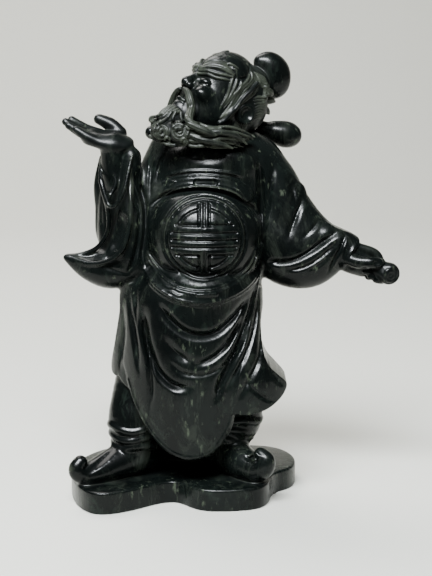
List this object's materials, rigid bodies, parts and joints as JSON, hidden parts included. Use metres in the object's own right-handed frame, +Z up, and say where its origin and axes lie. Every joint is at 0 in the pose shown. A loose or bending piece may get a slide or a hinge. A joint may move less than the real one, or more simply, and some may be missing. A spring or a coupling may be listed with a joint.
{
  "type": "carved stone warrior figure",
  "caption": "Bearded robed warrior carved in dark green stone, one palm raised, the other arm lowered to a fist, on a lobed plinth of the same block.",
  "frame": {"origin": "middle of the plinth's flat underside", "axes": "+Z up; the figure's chest faces -Y; the raised hand is towards -X and the lowered fist towards +X"},
  "size_m": [0.186, 0.0909, 0.2507],
  "materials": {
    "stone": "polished dark green stone, duller in the beard, the hair and the deep folds"
  },
  "bodies": {
    "root": {"stone_figure": "stone"}
  },
  "joints": []
}
